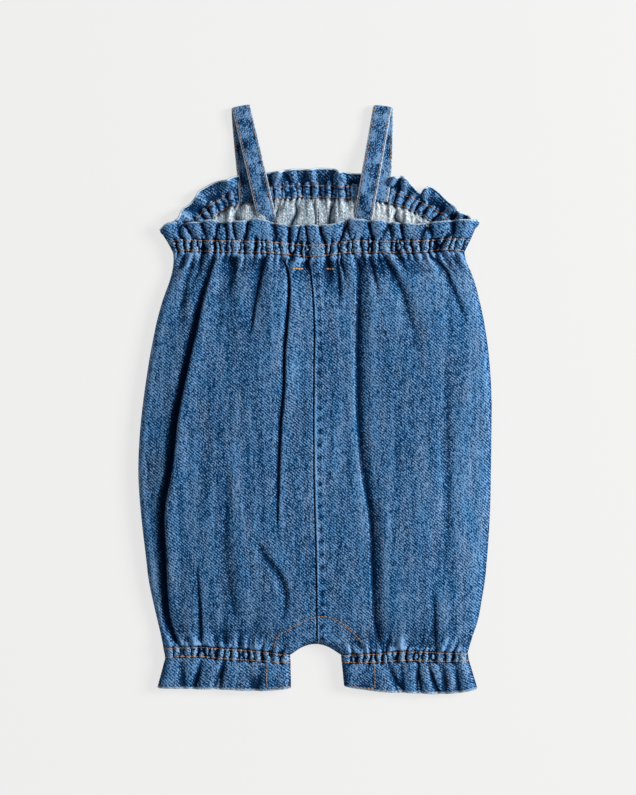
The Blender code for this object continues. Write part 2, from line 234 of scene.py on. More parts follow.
Fold = namedtuple("Fold", "name left right lip path")  # path rows are x, y, depth; left and right are widths
frontFolds = [
    Fold("leftSide", 9.5, 1.9, 0.6, [
        (-75.9, 110, 3.0), (-85.4, 75, 5.5), (-91.1, 49, 6.2), (-98.3, 16, 7.0), (-103, -7, 7.4),
        (-110.2, -62, 7.6), (-113.3, -76, 7.6), (-113.4, -123, 7.4), (-112.5, -146, 6.5),
        (-111, -165, 5.0), (-106, -188, 3.0)]),
    Fold("leftArm", 6.0, 5.0, 0.3, [
        (-92.7, 110, 3.0), (-98.2, 91, 2.2), (-101, 75, 1.6), (-106.4, 56, 0.0)]),
    Fold("leftCentre", 7.0, 1.8, 1.9, [
        (-22.5, 110, 4.5), (-18.9, 98, 5.5), (-18.9, 63, 5.5), (-21.2, 40, 5.0), (-22.5, 5, 4.5),
        (-24.8, -19, 4.0), (-26.5, -53, 3.2), (-28.1, -85, 1.8), (-29.5, -108, 0.0)]),
    Fold("leftBreast", 6.0, 2.6, 0.9, [
        (-37, 106, 2.8), (-41, 90, 2.8), (-44.6, 75, 2.4), (-48, 57, 1.6), (-50.7, 41, 0.0)]),
    Fold("leftShort", 5.0, 3.0, 0.4, [(-59.9, 106, 2.4), (-64.4, 87, 1.4), (-66.7, 75, 0.0)]),
    Fold("leftKnee", 8.0, 6.0, 0.3, [
        (-49.4, -100, 0.0), (-38.7, -119, 2.0), (-28.1, -133, 2.8), (-22.7, -149, 2.4),
        (-24, -165, 1.0), (-30, -178, 0.0)]),
    Fold("leftHem", 6.0, 2.4, 0.6, [
        (-86.9, -191, 3.4), (-87.4, -165, 2.6), (-89, -143, 1.6), (-90.4, -123, 0.0)]),
    Fold("leftSoft", 13.0, 11.0, 0.0, [
        (-67.5, -40, 0.0), (-67.5, -63, 1.4), (-67.5, -127, 2.0), (-62.3, -159, 1.4), (-58, -180, 0.0)]),
    Fold("rightOfSeam", 5.0, 3.5, 0.3, [(17.2, 110, 3.4), (18.7, 86, 2.4), (17.2, 68, 0.0)]),
    Fold("rightCentre", 2.6, 14.0, -0.5, [
        (33.2, 108, 4.5), (32.4, 80, 4.8), (31.4, 51, 4.4), (30.9, 16, 4.0), (32, -19, 3.8),
        (36.2, -62, 4.4), (40.8, -90, 4.8), (42.3, -122, 4.6), (43.4, -149, 4.2), (44.5, -170, 3.8),
        (48.3, -186, 3.2), (51.5, -194, 2.6)]),
    Fold("rightShort", 4.5, 3.2, 0.4, [(41.9, 110, 3.2), (46.7, 86, 1.8), (48.5, 74, 0.0)]),
    Fold("rightSlant", 10.0, 10.0, 0.1, [
        (53.6, 108, 3.2), (64.1, 86, 3.2), (68.8, 72, 2.4), (73.5, 56, 1.4), (78.2, 34, 0.0)]),
    Fold("rightArm", 7.0, 5.0, 0.3, [
        (85, 111, 3.0), (96.9, 101, 3.2), (103.2, 88, 2.6), (110, 72, 1.8), (117, 57, 0.0)]),
    Fold("rightCorner", 5.0, 4.0, 0.3, [(99.1, 113, 2.2), (108.5, 103, 1.2), (113, 96, 0.0)]),
    Fold("rightHem", 7.0, 4.0, 0.4, [(91.9, -193, 3.2), (91.1, -165, 2.2), (88.9, -138, 0.0)]),
    Fold("rightSoft", 14.0, 14.0, 0.0, [
        (96, 40, 0.0), (99, 10, 1.0), (101, -60, 1.6), (99, -120, 1.4), (97, -160, 0.0)]),
]


def foldRelief(folds, x, y):  # heights and sideways shifts that the folds give
    height, shift = np.zeros_like(x), np.zeros_like(x)
    for fold in folds:
        px, py, depth = np.array(fold.path, float).T
        side = x - smoothCurve(py, px, y)
        deep = np.where((y > py.min()) & (y < py.max()), smoothCurve(py, depth, y), 0)
        end = np.where(y <= py.min(), depth[np.argmin(py)], np.where(y >= py.max(), depth[np.argmax(py)], 0))
        deep = np.maximum(deep + end, 0)
        gentle = np.clip(1 + side / fold.left, 0, 1) ** 2
        steep = np.clip(1 - side / fold.right, 0, 1) ** 2
        height -= deep * np.where(side < 0, gentle, steep)
        bulge = np.exp(-((side - 1.3 * fold.right) / (2.2 * fold.right)) ** 2)
        height += 0.16 * deep * np.exp(-((side - 2.0 * fold.right) / (2.5 * fold.right)) ** 2)
        shift -= fold.lip * deep / 4.5 * bulge
    return height, shift


Valley = namedtuple("Valley", "at half depth reach lean slant lip")


def makeValleys(low, high, pitch, depth, reach, seed):  # the creases between the pleats of a gathered edge
    rng = np.random.default_rng(seed)
    count = int(round((high - low) / pitch))
    steps = rng.uniform(0.45, 1.6, count)
    places = (low + (high - low) * np.cumsum(steps) / steps.sum())[:-1]
    return [Valley(at, pitch * rng.uniform(0.22, 0.42), depth * rng.uniform(0.55, 1.5),
                   reach[0] + (reach[1] - reach[0]) * rng.random() ** 2.0,
                   rng.uniform(-0.12, 0.12) + 0.42 * (2 * at - low - high) / (high - low),
                   rng.uniform(-0.2, 0.2), rng.uniform(-0.25, 0.6))
            for at in places]


def gather(valleys, w, t, spread, fade=1.0, casing=0.0):  # heights and sideways shifts of the pleats
    # w runs along the band, t away from its stitches; casing is how far this is up the casing
    height, shift = np.zeros_like(w), np.zeros_like(w)
    t = np.maximum(t, 0)
    for v in valleys:
        half = v.half * (1 + spread * t / 10)
        side = w - v.at - v.lean * t / (1 + t / 40) - v.slant * casing - 0.3 * np.sin(casing * 0.9 + v.at)
        strength = v.depth * np.exp(-((t / (v.reach * fade)) ** 1.3))
        height -= strength * np.exp(-((np.abs(side) / half) ** 1.5))
        shift -= v.lip * strength * np.exp(-(((side - np.sign(v.lip) * half) / (1.2 * half)) ** 2)) * 0.7
    return height, shift


neckCreases = [v for v in makeValleys(-112, 116, 4.2, 4.5, (2.5, 15), 11) if not -6.5 < v.at < 8.5]
neckCreases += [Valley(-4.0, 0.9, 2.8, 7, 0.05, 0.05, 0.3), Valley(8.2, 1.2, 3.8, 12, 0.0, -0.05, -0.3)]
waistCreases = makeValleys(-110, 114, 9.5, 4.4, (9, 44), 13)
Dip = namedtuple("Dip", "x depth width")
ruffleDips = rowsOf(  # the valleys of the front ruffle
    Dip,
    (-101.4, 3.0, 4.5), (-92.7, 3.4, 4.0), (-82.8, 3.6, 4.2), (-76.1, 3.0, 3.4), (-67.5, 3.8, 4.2),
    (-60.6, 3.2, 3.6), (-53.2, 3.8, 4.6), (-29.4, 2.4, 5.0), (-20.5, 4.4, 4.6), (-14.5, 3.0, 3.4),
    (-5.0, 3.4, 3.8), (7.0, 3.6, 4.2), (19.9, 4.2, 4.4), (27.1, 2.4, 4.0), (43.9, 4.0, 4.6),
    (51.5, 2.0, 4.0), (58.3, 2.6, 4.4), (68.0, 3.8, 4.6), (80.9, 3.0, 5.0), (88.9, 3.2, 4.2),
    (101.8, 3.4, 5.0),
)
backFolds = [  # on the inner side of the back, seen through the neck
    Fold("backSeam", 3.0, 2.2, 0.2, [(-1, 154, 2.4), (0.5, 142, 2.6), (0, 128, 2.4), (0, 60, 0.0)]),
    Fold("backLeftA", 9.5, 4.3, 1.2, [
        (-30, 153, 1.6), (-27, 146, 3.6), (-31, 137, 4.0), (-37, 126, 3.2), (-40, 90, 0.0)]),
    Fold("backLeftB", 7.6, 4.0, 1.0, [
        (-17, 154, 1.8), (-13, 145, 3.6), (-17, 134, 3.6), (-20, 124, 2.8), (-24, 90, 0.0)]),
    Fold("backLeftC", 11.4, 4.7, 1.0, [
        (-56, 150, 1.6), (-60, 142, 3.4), (-57, 132, 3.6), (-54, 122, 2.4), (-50, 90, 0.0)]),
    Fold("backLeftD", 11.4, 5.4, 0.7, [
        (-74, 144, 1.4), (-80, 136, 2.6), (-78, 126, 2.6), (-74, 95, 0.0)]),
    Fold("backRightA", 9.5, 4.3, 1.2, [
        (17, 154, 1.6), (13, 145, 3.4), (12, 134, 3.8), (17, 122, 2.6), (22, 90, 0.0)]),
    Fold("backRightB", 7.6, 4.0, 0.9, [
        (38, 152, 1.4), (35, 143, 2.6), (39, 132, 3.0), (44, 122, 2.0), (48, 90, 0.0)]),
    Fold("backRightC", 9.5, 4.3, 1.0, [
        (66, 147, 1.6), (62, 139, 3.2), (69, 131, 3.6), (78, 124, 2.6), (84, 100, 0.0)]),
]
backCreases = makeValleys(-108, 178, 3.7, 3.4, (4, 18), 21)
backDips = [Dip(x, (2.4 if x < 108 else 4.2) + 1.6 * chance.random(), 4.4 + 2.0 * chance.random())
            for x in np.arange(-96, 172, 13.5) + chance.uniform(-3, 3, 20)]
neckHooks = makeValleys(-111, 115, 5.0, -2.8, (4, 11), 61)  # short ridges that hook off the stitches
legHooks = [makeValleys(-114, -24, 4.8, -2.8, (4, 10), 63), makeValleys(24, 114, 4.8, -2.8, (4, 10), 65)]
legCreases = {
    "left": makeValleys(-114, -22, 4.4, 3.2, (2.5, 12), 41),
    "right": makeValleys(22, 114, 4.4, 3.2, (2.5, 12), 43),
}
calfCreases = {
    "left": makeValleys(-112, -24, 8.5, 3.4, (7, 30), 45),
    "right": makeValleys(24, 112, 8.5, 3.4, (7, 30), 47),
}
legDips = {
    "left": rowsOf(Dip, (-103, 1.6, 7.0), (-85.8, 2.4, 6.0), (-68.3, 3.0, 6.0), (-52, 1.2, 7.0),
                   (-40, 1.4, 8.0)),
    "right": rowsOf(Dip, (55.3, 2.2, 6.0), (66, 1.4, 6.0), (78.2, 3.0, 5.0), (85.5, 2.2, 4.0), (96.5, 1.8, 6.0),
                    (106.4, 1.8, 5.0)),
}


def softWander(rows, columns, along, across, seed):  # a smooth random surface, about -1 to 1
    rng = np.random.default_rng(seed)
    field = blurred(blurred(rng.normal(size=(rows, columns)), along, 0), across, 1)
    return field / np.abs(field).max()


def surfaceNormals(points, smooth=1.2):
    alongU = np.gradient(points, axis=1)
    alongV = np.gradient(points, axis=0)
    normals = np.cross(alongU, alongV)
    for k in range(3):
        normals[..., k] = blurred(blurred(normals[..., k], smooth, 0), smooth, 1)
    return normals / np.linalg.norm(normals, axis=2, keepdims=True)


def ruffleRelief(dips, creases, w, t, span):  # big folds that grow from the stitches to the free edge
    grow = ease(-0.15, 0.75, t / span)
    total, shift = gather(creases, w, t, 0.8, 0.2, 9.5)
    for k, dip in enumerate(dips):
        lean = (0.8 if k % 3 == 0 else -0.5) * t / span
        width = dip.width * (0.43 + 0.17 * t / span)
        side = w - dip.x - lean * dip.width
        total -= 1.5 * dip.depth * (0.3 + 0.7 * grow) * np.exp(-((np.abs(side) / width) ** 1.6))
        lip = (1 if k % 4 else -1) * 0.5 * dip.depth
        shift -= lip * np.exp(-(((side - np.sign(lip) * width) / width) ** 2)) * grow
    return total, shift


def gathered(rows):  # several rows of pleats together; a row's last number is how far off it begins
    height, shift = 0, 0
    for valleys, along, reach, spread, start in rows:
        rowHeight, rowShift = gather(valleys, along, reach, spread)
        begun = ease(0, start, reach) if start else 1
        height, shift = height + rowHeight * begun, shift + rowShift * begun
    return height, shift


def centreSeamX(y):
    return smoothCurve(column(centreSeam, "y"), column(centreSeam, "x"), y)


seamSizes = {
    "ply": 0.55,  # rise of the seam's layers beside it
    "plyWidth": 6.8,
    "groove": 0.9,
    "grooveWidth": 0.55,
    "pucker": 0.5,
    "puckerPitch": 9.3,
}
softSizes = {  # the soft unevenness of the front: height, length along the body, width across it and seed
    "broad": (1.6, 34, 20, 5),
    "middle": (1.0, 22, 8, 6),
    "small": (0.28, 9, 4, 7),
    "pillow": (2.6, 1.6, 4.0, 12),  # between the gathers
}
paintedLightAndToneShifts = {  # painted shade and painted highlight that the relief alone doesn't give, with a few plain tone shifts; darker above 0
    # a lighter patch on the right hip
    "rightHip": -0.24,
    # painted highlight along the left side edge, which faces away from the key light
    "leftEdge": -0.4,
    # darker towards the bottom
    "lowerBody": 0.12,
    # long soft bands: partly dye streaks, partly painted shade of soft folds
    "broadClouds": 0.15,
    "narrowClouds": 0.09,
    # painted shadow cast by the leftSide fold onto the flat strip to its left
    "leftFlat": 0.20,
    # painted shade that dulls the lit bank right of the leftSide crease
    "leftBank": 0.26,
    # lighter hook ridges under the stitches: partly rubbed wear, partly painted highlight
    "hooks": 0.40,
    # painted shade in the troughs of the folds and of the gathered creases
    "folds": 0.105,
    "creases": 0.07,
    # painted shade of the puckers beside the centre seam
    "puckers": 1.0,
    # painted shade in the centre seam's groove
    "seamLine": 0.9,
    # pale line beside the centre seam: partly rubbed wear, partly painted highlight
    "seamRidge": 0.55,
}
Cloth = namedtuple("Cloth", "x y w xBottom below above inward")  # where the points of a panel lie


def softLayer(shape, name):
    size = softSizes[name]
    return size[0] * softWander(*shape, *size[1:])


def frontRelief(cloth):  # heights, sideways shifts and tones of the front's folds, pleats and centre seam; the tones are mostly painted shade and painted highlight
    x, y, w, xBottom, below, above, inward = cloth
    foldHeight, shift = foldRelief(frontFolds, x, y)
    leftLine = np.array(frontFolds[0].path, float)
    fromFold = x - smoothCurve(leftLine[:, 1], leftLine[:, 0], y)
    drop = smoothCurve([110, 75, 16, -62, -123, -165, -188], [0, 1.8, 3.4, 4.2, 4.0, 2.5, 0], y)
    drop = drop * (1 - ease(-1.5, 0.5, fromFold)) * ease(0, 10, inward + 2)
    creased, pleatShift = gathered([(neckCreases, w, below, 1.3, 0), (waistCreases, w, below, 0.6, 6)])
    hems, hemShift = gathered([(creases[side], xBottom, above, spread, start) for side in ("left", "right")
                               for creases, spread, start in ((legCreases, 1.2, 0), (calfCreases, 0.6, 6))])
    pleats, pleatShift = creased + hems, pleatShift + hemShift
    away = np.minimum(below, above)
    within = ease(0.5, 7, away)

    tone = paintedLightAndToneShifts
    # the tones below are mostly painted shade and painted highlight, with plain tone shifts and some rubbed
    # wear; darker above 0
    wearAndPaintedLight = tone["rightHip"] * np.exp(-((x - 104) / 9) ** 2) * ease(-175, -140, y) * (1 - ease(-70, -20, y))
    wearAndPaintedLight += tone["leftEdge"] * np.exp((x[:, :1] - x) / 2.0)
    wearAndPaintedLight += tone["lowerBody"] * (1 - ease(-165, -90, y))
    wearAndPaintedLight -= tone["broadClouds"] * softWander(*x.shape, 40, 16, 8)
    wearAndPaintedLight -= tone["narrowClouds"] * softWander(*x.shape, 44, 7, 9)
    # painted shadow of the leftSide fold on the strip to its left, and painted shade on the lit bank to its
    # right
    wearAndPaintedLight += tone["leftFlat"] * drop * np.clip(1 + fromFold / 10, 0, 1)
    leftBank = np.exp(-((fromFold - 5) / 5) ** 2) * ease(-188, -150, y) * (1 - ease(60, 110, y))
    wearAndPaintedLight += tone["leftBank"] * leftBank
    for hooks, along, reach in ((neckHooks, w, below), (legHooks[0], xBottom, above),
                                (legHooks[1], xBottom, above)):
        hook, hookShift = gather(hooks, along, reach, 0.5)
        pleats = pleats + hook * ease(0, 2.5, reach)
        pleatShift = pleatShift + hookShift * ease(0, 2.5, reach)
        wearAndPaintedLight -= tone["hooks"] * hook * ease(0, 1.5, reach)
    # painted shade in the fold troughs and the gathered creases
    wearAndPaintedLight += tone["folds"] * np.maximum(-foldHeight, 0) * within + tone["creases"] * np.maximum(-creased, 0)

    pillow = softLayer(x.shape, "pillow") + 1.2
    pleats = pleats + pillow * ease(0.3, 2.5, away) * (1 - ease(4, 14, away))
    soft = softLayer(x.shape, "broad") + softLayer(x.shape, "middle") + softLayer(x.shape, "small")
    fromSeam = x - centreSeamX(y)
    wave = 0.5 + 0.5 * np.sin(y * 2 * math.pi / seamSizes["puckerPitch"] + 0.8 * np.sin(y / 13))
    plyEdge = seamSizes["plyWidth"]
    ply = seamSizes["ply"] * ease(-0.2, 0.5, fromSeam) * (1 - ease(plyEdge - 0.6, plyEdge + 0.6, fromSeam))
    pucker = seamSizes["pucker"] * np.exp(-((fromSeam - 4.4) / 2.2) ** 2) * wave
    groove = -seamSizes["groove"] * np.exp(-(fromSeam / seamSizes["grooveWidth"]) ** 2)
    groove += 0.35 * np.exp(-((fromSeam - 1.1) / 0.6) ** 2) - pucker
    # painted shade of the seam's puckers and groove, and a pale line beside it that is partly rubbed wear and
    # partly painted highlight
    wearAndPaintedLight += tone["puckers"] * np.exp(-((fromSeam - 4.6) / 2.0) ** 2) * wave ** 3
    wearAndPaintedLight += tone["seamLine"] * np.exp(-(fromSeam / 0.5) ** 2)
    wearAndPaintedLight -= tone["seamRidge"] * np.exp(-((fromSeam - 1.4) / 0.6) ** 2)
    height = (foldHeight - drop + soft) * within + pleats + ply + groove
    return height, shift * within + pleatShift, wearAndPaintedLight


def backRelief(cloth):  # the same for the back, whose pleats stand up towards the front
    x, y, w, xBottom, below, above, inward = cloth
    rows = [(legCreases[side], xBottom, above, 1.2, 0) for side in ("left", "right")]
    pleats, pleatShift = gathered([(backCreases, w, below, 1.0, 0), *rows])
    soft = 1.0 + softWander(*x.shape, 26, 16, 9)
    away = np.minimum(below, above)
    folds, foldShift = foldRelief(backFolds, x, y)
    puff = 4.4 * np.exp(-((below / 48) ** 2)) * ease(0, 7, inward)
    relief = -pleats + (puff + 0.9 * soft * np.exp(-away / 60) + 1.1 * folds) * ease(0, 5, away)
    return np.maximum(relief, 0), pleatShift + foldShift, 0 * x


# front and back say how high the ruffle rises over its casing, at which share of its width it is up, and how
# far it droops; way is 1 for a band above its panel and -1 below
bandSizes = {
    "neck": {"tall": 9.5, "cutTall": 9.5, "crumple": 0.35, "wrinkle": 0.8, "wrinkleWidth": 5, "seed": 52,
             "scallop": 1.3, "curl": 0.16, "way": 1, "front": (1.8, 0.8, 0.0), "back": (3.4, 0.8, 0.0)},
    "leg": {"tall": 8.0, "cutTall": 8.5, "crumple": 0.0, "wrinkle": 0.7, "wrinkleWidth": 6, "seed": 53,
            "scallop": 0.0, "curl": 0.0, "way": -1, "front": (1.2, 0.5, 2.2), "back": (1.6, 1.0, 0.0)},
}


def makeBand(layer, kind, line, w, creases, dips, rise):  # a casing and its ruffle; rise is 0 at the seams
    size = bandSizes[kind]
    sign = 1 if layer == "front" else -1
    upTo, upAt, droop = size[layer]
    if layer == "front":
        base = levels["seam"] + (levels["band"] - levels["seam"]) * rise
    else:
        base = levels["backSeam"] * (1 - rise)
    v = np.linspace(0, 1, grid["casingRows"])[:, None]
    casingX = line["lowerX"] + (line["upperX"] - line["lowerX"]) * v
    casingY = line["lowerY"] + (line["upperY"] - line["lowerY"]) * v
    relief, shift = gather(creases, w + 0 * casingX, 0 * casingX, 0, 1.0, size["tall"] * v)
    bulge = 0.35 * (1 - (2 * v - 1) ** 2)  # of the elastic between its two lines of stitches
    crumple = size["crumple"] * softWander(*casingX.shape, 1.2, 1.6, 51)
    casingZ = base + (sign * relief + bulge + crumple) * rise
    casingV = line["lowerY"] + size["way"] * size["cutTall"] * v

    upperX, upperY = line["upperX"], line["upperY"]
    span = np.hypot(line["edgeX"] - upperX, line["edgeY"] - upperY)
    uneven = size["scallop"] * wander(60, 1.0, np.random.default_rng(31 + (layer == "front")))
    stretch = 1 + smoothCurve(np.linspace(w[0], w[-1], 60), uneven, w) / span * rise
    u = np.linspace(0, 1, grid["ruffleRows"])[:, None]
    ruffleX = upperX + (line["edgeX"] - upperX) * stretch * u
    ruffleY = upperY + (line["edgeY"] - upperY) * stretch * u
    waves, waveShift = ruffleRelief(dips, creases, w + 0 * ruffleX, u * span, span)
    ruffleV = line["lowerY"] + size["way"] * (size["cutTall"] + span * u)
    ruffleY = ruffleY - size["curl"] * np.abs(waves) * ease(0.4, 1, u) * rise
    wrinkles = softWander(*ruffleX.shape, 5, size["wrinkleWidth"], size["seed"]) * ease(0, 0.4, u)
    stand = upTo * ease(0, upAt, u) - droop * u
    ruffleZ = base + (stand + sign * (waves + size["wrinkle"] * wrinkles)) * rise

    upright = kind == "neck"  # the weave follows the plan at the neck, and the columns at the legs
    order = slice(None, None, size["way"])  # so that both kinds face up
    made = {"flat": (rise ** 3)[order]}
    for part, partX, partY, partZ, partShift, partV in (
            ("casing", casingX, casingY, casingZ, shift, casingV),
            ("ruffle", ruffleX, ruffleY, ruffleZ, waveShift, ruffleV)):
        points = np.stack([partX + partShift * rise, partY, np.maximum(partZ, 0)], 2)
        uv = clothUv(partX if upright else w + 0 * partX, partV)
        made[part] = points[:, order], uv[:, order]
    return made


def makeSheet(layer):
    isFront = layer == "front"
    neck = frontNeck if isFront else backNeck
    p = np.linspace(0, 1, grid["columns"] + 1)
    hump = 1 - np.abs(2 * p - 1)
    roll = rollRise(p)
    neckLength = lineByLength(neck, np.zeros(1))[3]
    toCentre = (-6.7 if isFront else 0.4) / neckLength  # brings the middle column to the centre seam
    neckShare = acrossShare(p, neckLength) + toCentre * hump
    at, xTop, yTop, _ = lineByLength(neck, neckShare)
    numbers = np.linspace(0, 1, len(neck))
    line = {name: smoothCurve(numbers, column(neck, name), at) for name in Station._fields}
    line["lowerX"], line["lowerY"] = xTop, yTop
    w = neckShare * neckLength + neck[0].lowerX
    legWidth = rightLeg[-1].lowerX - leftLeg[0].lowerX
    xBottom = leftLeg[0].lowerX + legWidth * acrossShare(p, legWidth) + 1.1 * hump
    yBottom = bottomLine(xBottom)
    outlineY = column(bodyOutline, "y")

    def planX(y):  # where each column lies at each height along the body
        left = smoothCurve(outlineY, column(bodyOutline, "left"), y)
        right = smoothCurve(outlineY, column(bodyOutline, "right"), y)
        seam = centreSeamX(y)
        share = acrossShare(p, 250)
        return np.where(share < 0.5, left + (seam - left) * 2 * share, right + (seam - right) * 2 * (1 - share))

    steps = np.linspace(0, 1, grid["panelRows"])[:, None]
    q = 0.45 * steps + 0.55 * (0.5 - 0.5 * np.cos(math.pi * steps))  # closer rows at both ends
    y = yBottom + (yTop - yBottom) * q
    topWeight = ease(0.72 if isFront else 0.3, 1.0, q)
    bottomWeight = 1 - ease(0.0, 0.2, q)
    x = planX(y) + topWeight * (xTop - planX(yTop + 0 * y)[-1])
    x = x + bottomWeight * (xBottom - planX(yBottom + 0 * y)[0])
    below, above = yTop - y, y - yBottom

    # how high the cloth stands over its seams, before its folds
    seam = levels["seam"]
    loft = smoothCurve(outlineY, column(bodyOutline, "loft"), y)
    inward = np.minimum(x - x[:, :1], x[:, -1:] - x)
    crown = 1 - np.exp(-inward / 26)
    edgeLoft = seam + (loft - seam) * 0.58
    body = seam + (edgeLoft - seam) * roll + (loft - edgeLoft) * crown
    bandHeight = seam + (levels["band"] - seam) * roll + 0 * y
    pinch = np.maximum(np.exp(-below / 8.0), np.exp(-above / 8.0))
    height = body * (1 - pinch) + bandHeight * pinch

    # the roll down to the crotch seam and the inner legs
    beside = np.maximum(np.abs(xBottom) - levels["legHalfGap"], 0)
    crotchRise = roundUp(np.hypot(above / 10.0, beside / levels["rollWidth"] + 0 * above))
    nearCrotch = np.abs(xBottom) < levels["legHalfGap"] + levels["rollWidth"] + 4
    crotchRise = np.where((p > 0.02) & (p < 0.98) & nearCrotch, crotchRise, 1)
    height = seam + (height - seam) * crotchRise

    sides = roll * crotchRise
    cloth = Cloth(x, y, w + 0 * y, xBottom + 0 * y, below, above, inward)
    # the front's tones are mostly painted shade and painted highlight
    relief, shift, tones = frontRelief(cloth) if isFront else backRelief(cloth)
    moved = x + shift * sides
    if isFront:
        height = height + relief * sides
    else:
        height = levels["backSeam"] * (1 - sides) + relief * sides
        toRight = ease(58, 82, moved)  # where the front's band lies higher
        height = np.minimum(height, 2.4 + 20 * ease(123 + 6 * toRight, 134 + 5 * toRight, y))
    sheet = {"panel": (np.stack([moved, y, height], 2), clothUv(x, y)), "flat": sides ** 3, "tones": tones}
    sheet["neck"] = makeBand(layer, "neck", line, w, neckCreases if isFront else backCreases,
                             ruffleDips if isFront else backDips, roll)
    for side, stations in (("left", leftLeg), ("right", rightLeg)):
        inLeg = (xBottom <= -levels["legHalfGap"]) if side == "left" else (xBottom >= levels["legHalfGap"])
        legX = xBottom[inLeg]
        leg = {name: smoothCurve(column(stations, "lowerX"), column(stations, name), legX)
               for name in Station._fields}
        leg["lowerX"], leg["lowerY"] = legX, yBottom[inLeg]
        inner = roundUp((np.abs(legX) - levels["legHalfGap"]) / levels["rollWidth"])
        sheet[side] = makeBand(layer, "leg", leg, legX, legCreases[side], legDips[side], roll[inLeg] * inner)
    return sheet


sheets = {layer: makeSheet(layer) for layer in ("front", "back")}
print("front and back sheets shaped")


class Wire:  # a node's output that can be used in plain arithmetic
    def __init__(self, tree, socket):
        self.tree, self.socket = tree, socket

    def math(self, operation, other=None, clamp=False):
        values = {0: self} if other is None else {0: self, 1: other}
        return self.tree.node("ShaderNodeMath", {"operation": operation, "use_clamp": clamp}, values)

    def __add__(self, other):
        return self.math("ADD", other)

    __radd__ = __add__

    def __sub__(self, other):
        return self.math("SUBTRACT", other)

    def __rsub__(self, other):
        return self.tree.node("ShaderNodeMath", {"operation": "SUBTRACT"}, {0: other, 1: self})

    def __mul__(self, other):
        return self.math("MULTIPLY", other)

    __rmul__ = __mul__

    def clamped(self):
        return self.math("ADD", 0.0, True)


class Shading:  # one material's node tree
    def __init__(self, name):
        self.material = bpy.data.materials.new(name)
        self.material.use_nodes = True
        self.tree = self.material.node_tree
        self.shader = self.tree.nodes["Principled BSDF"]

    def node(self, kind, settings=None, inputs=None, output=0):
        made = self.tree.nodes.new(kind)
        for key, value in (settings or {}).items():
            setattr(made, key, value)
        for key, value in (inputs or {}).items():
            self.put(made.inputs[key], value)
        return Wire(self, made.outputs[output])

    def put(self, socket, value):
        if isinstance(value, Wire):
            self.tree.links.new(value.socket, socket)
        else:
            socket.default_value = value

    def mixColour(self, share, low, high):
        inputs = {0: share, 6: low if isinstance(low, Wire) else (*low, 1.0),
                  7: high if isinstance(high, Wire) else (*high, 1.0)}
        return self.node("ShaderNodeMix", {"data_type": "RGBA", "clamp_factor": True}, inputs, 2)

    def attribute(self, name):
        return self.node("ShaderNodeAttribute", {"attribute_name": name}, {}, 2)

    def noise(self, vector, scale, detail=2.0, roughness=0.5):
        return self.node("ShaderNodeTexNoise", {}, {"Vector": vector, "Scale": scale, "Detail": detail,
                                                    "Roughness": roughness})


denimLook = {
    "level": 0.425,
    "dark": (0.001, 0.015, 0.052),
    "middle": (0.012, 0.076, 0.200),
    "pale": (0.180, 0.330, 0.555),
    "wornTone": (0.50, 0.62, 0.72),
    "roughness": 0.95,
    "specular": 0.10,
    "grain": 0.93,
    "twill": 0.42,
    "streak": 0.60,
    "cloud": 0.45,
    "cloudSize": (0.06, 0.010),
    "ridge": 0.28,
    "valley": 0.42,
    "tone": 0.7,
    "edge": 1.0,
    "bump": 0.12,
}


